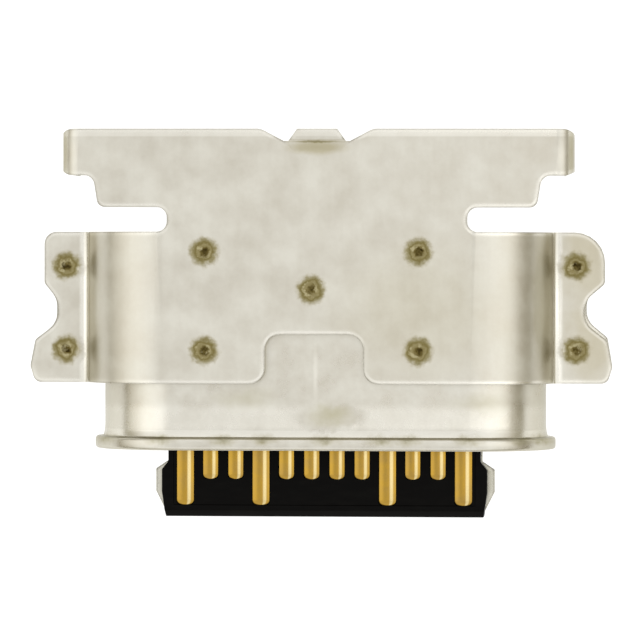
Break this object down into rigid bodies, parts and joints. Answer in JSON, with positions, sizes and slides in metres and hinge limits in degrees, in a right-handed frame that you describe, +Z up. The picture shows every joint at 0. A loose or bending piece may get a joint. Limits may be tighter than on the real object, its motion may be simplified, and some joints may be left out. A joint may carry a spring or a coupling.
{
  "type": "usb-c socket",
  "caption": "Socket for a reversible flat plug, sunk into a board cut-out: flanged oval steel shell, folded cover with welded ears, black tongue with gilt contacts.",
  "frame": {"origin": "centre of the oval opening, in the plane of the flange's front face; the plug's axis passes through it", "axes": "+Z up from the board, +Y the way the plug goes in, from the flange to the tails, and +X to the right seen from the front"},
  "size_m": [0.0115, 0.0077, 0.0034],
  "materials": {
    "shell_steel": "nickel-plated, bright",
    "cover_steel": "nickel-plated, satin",
    "bracket_steel": "nickel-plated, satin",
    "plate_steel": "bare, cut edges",
    "contact_gold": "gilt copper alloy",
    "housing_black": "glass-filled moulding, smooth"
  },
  "bodies": {
    "root": {"front_shell": "shell_steel", "top_cover": "cover_steel", "lower_bracket": "bracket_steel", "mid_plate": "plate_steel", "upper_ground_collar": "plate_steel", "lower_ground_collar": "plate_steel", "upper_housing": "housing_black", "lower_housing": "housing_black", "tongue_overmould": "housing_black", "contact_a01": "contact_gold", "contact_a02": "contact_gold", "contact_a03": "contact_gold", "contact_a04": "contact_gold", "contact_a05": "contact_gold", "contact_a06": "contact_gold", "contact_a07": "contact_gold", "contact_a08": "contact_gold", "contact_a09": "contact_gold", "contact_a10": "contact_gold", "contact_a11": "contact_gold", "contact_a12": "contact_gold", "contact_b01": "contact_gold", "contact_b02": "contact_gold", "contact_b03": "contact_gold", "contact_b04": "contact_gold", "contact_b05": "contact_gold", "contact_b06": "contact_gold", "contact_b07": "contact_gold", "contact_b08": "contact_gold", "contact_b09": "contact_gold", "contact_b10": "contact_gold", "contact_b11": "contact_gold", "contact_b12": "contact_gold"}
  },
  "joints": []
}
